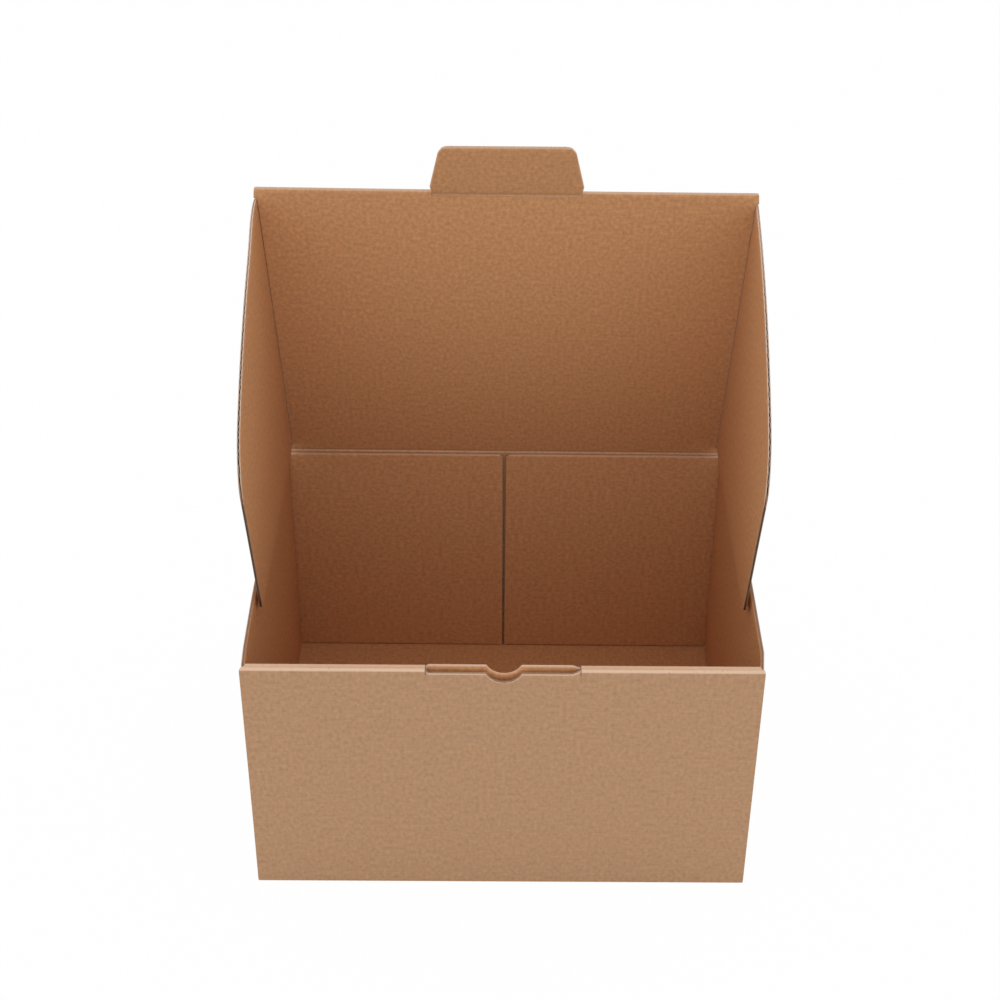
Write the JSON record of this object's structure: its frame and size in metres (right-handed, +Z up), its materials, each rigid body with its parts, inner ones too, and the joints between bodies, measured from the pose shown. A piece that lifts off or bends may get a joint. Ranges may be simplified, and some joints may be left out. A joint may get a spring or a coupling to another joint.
{
  "type": "mailer box",
  "caption": "Folding corrugated mailer box standing open: tray with a roll-over front wall and tuck slot, hinged lid with two side wings and a tuck tab.",
  "frame": {"origin": "under the middle of the tray, on the surface that the box stands on", "axes": "+Z up, -Y towards the front wall with the tuck slot, +Y towards the lid's hinge, +X to the right seen from the front"},
  "size_m": [0.2, 0.161, 0.2845],
  "materials": {
    "kraft_board": "uncoated brown kraft liner, matt"
  },
  "bodies": {
    "tray": {"tray": "kraft_board"},
    "lid": {"lid_panel": "kraft_board"},
    "left_wing": {"left_wing": "kraft_board"},
    "right_wing": {"right_wing": "kraft_board"},
    "tuck_tab": {"tuck_tab": "kraft_board"}
  },
  "joints": [
    {"name": "lid_hinge", "type": "hinge", "parent": "tray", "child": "lid", "pos_m": [0, 0.07975, 0.11255], "axis": [-1, 0, 0], "range_deg": [-69.7, 110.3]},
    {"name": "left_wing_fold", "type": "hinge", "parent": "lid", "child": "left_wing", "pos_m": [-0.0962, 0.05129, 0.18732], "axis": [0, -0.3469, 0.9379], "range_deg": [0, 60]},
    {"name": "right_wing_fold", "type": "hinge", "parent": "lid", "child": "right_wing", "pos_m": [0.0962, 0.05129, 0.18732], "axis": [0, 0.3469, -0.9379], "range_deg": [0, 60]},
    {"name": "tuck_tab_fold", "type": "hinge", "parent": "lid", "child": "tuck_tab", "pos_m": [0, 0.02456, 0.25959], "axis": [-1, 0, 0], "range_deg": [-87, 3]}
  ]
}
